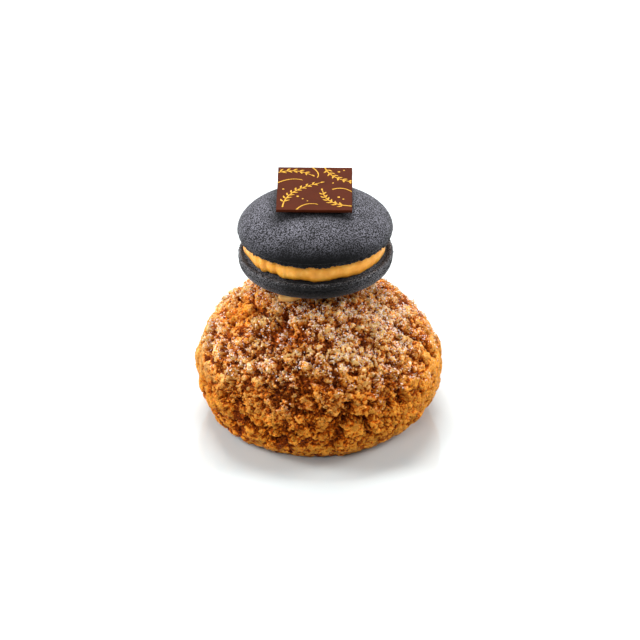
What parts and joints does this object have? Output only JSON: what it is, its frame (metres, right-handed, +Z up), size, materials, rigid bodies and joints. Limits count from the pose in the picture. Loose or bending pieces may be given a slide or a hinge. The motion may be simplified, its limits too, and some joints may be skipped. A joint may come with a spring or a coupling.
{
  "type": "choux bun",
  "caption": "Round choux bun under a crackled golden biscuit crust, with a dark filled macaron held on top by a dab of cream and a thin chocolate plaque lying on the macaron.",
  "frame": {"origin": "on the ground under the middle of the bun", "axes": "+Z up; the front, which faces the viewer in the picture, is towards -Y; +X is the picture's right"},
  "size_m": [0.0705, 0.07, 0.067],
  "materials": {
    "crackled_crust": "golden-brown crumbly biscuit crust with dark gaps and a light dusting of sugar",
    "caramel_cream": "smooth caramel-coloured cream with a soft sheen",
    "macaron_shell": "charcoal almond biscuit with a fine matt grain and a rough foot",
    "printed_chocolate": "tempered dark chocolate with a soft gloss and thin gold ornament"
  },
  "bodies": {
    "root": {"bun": "crackled_crust", "cream_dab": "caramel_cream", "macaron_lower_shell": "macaron_shell", "macaron_filling": "caramel_cream", "macaron_upper_shell": "macaron_shell", "chocolate_plaque": "printed_chocolate"}
  },
  "joints": []
}
